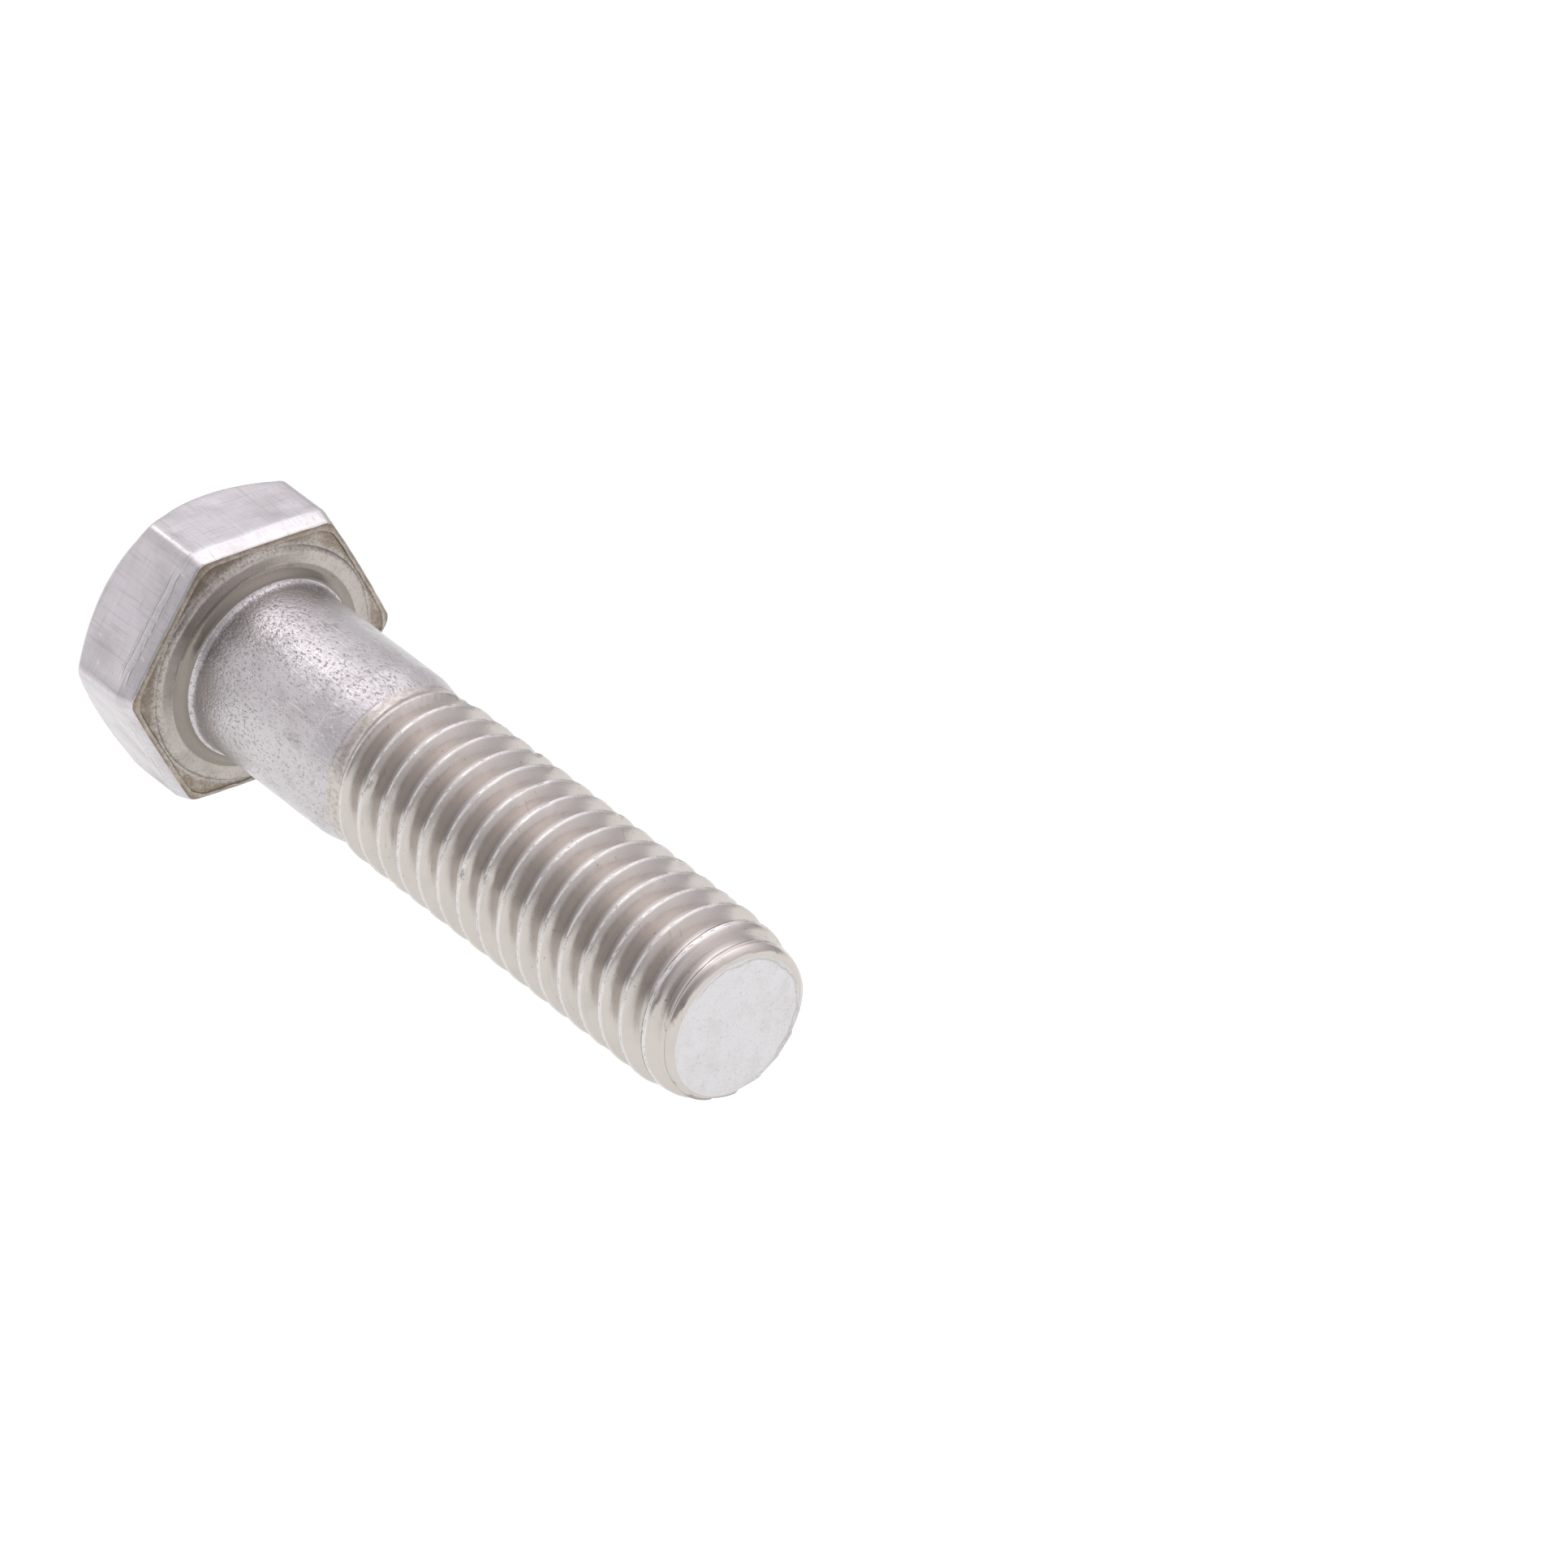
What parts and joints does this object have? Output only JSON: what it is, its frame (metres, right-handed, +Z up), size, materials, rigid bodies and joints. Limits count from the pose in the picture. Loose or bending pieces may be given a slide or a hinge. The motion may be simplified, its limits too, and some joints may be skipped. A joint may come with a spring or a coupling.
{
  "type": "hex bolt",
  "caption": "Hexagon head bolt with a plain shank, a washer face under the head and a right-hand coarse thread to a chamfered point.",
  "frame": {"origin": "centre of the head's flat top face, on the bolt's axis", "axes": "+X along the bolt's axis, out of the head's top face, so the shank points along -X and the bearing face is at x = -5.9 mm; +Z up, square to two of the six flats; +Y through two corners of the hexagon"},
  "size_m": [0.0436, 0.0162, 0.0142],
  "materials": {
    "steel": "bare stainless steel: cross-brushed hexagon flats, burnished and finely pitted shank, smooth semi-gloss rolled thread, dull sheared point"
  },
  "bodies": {
    "root": {"hex_bolt": "steel"}
  },
  "joints": []
}
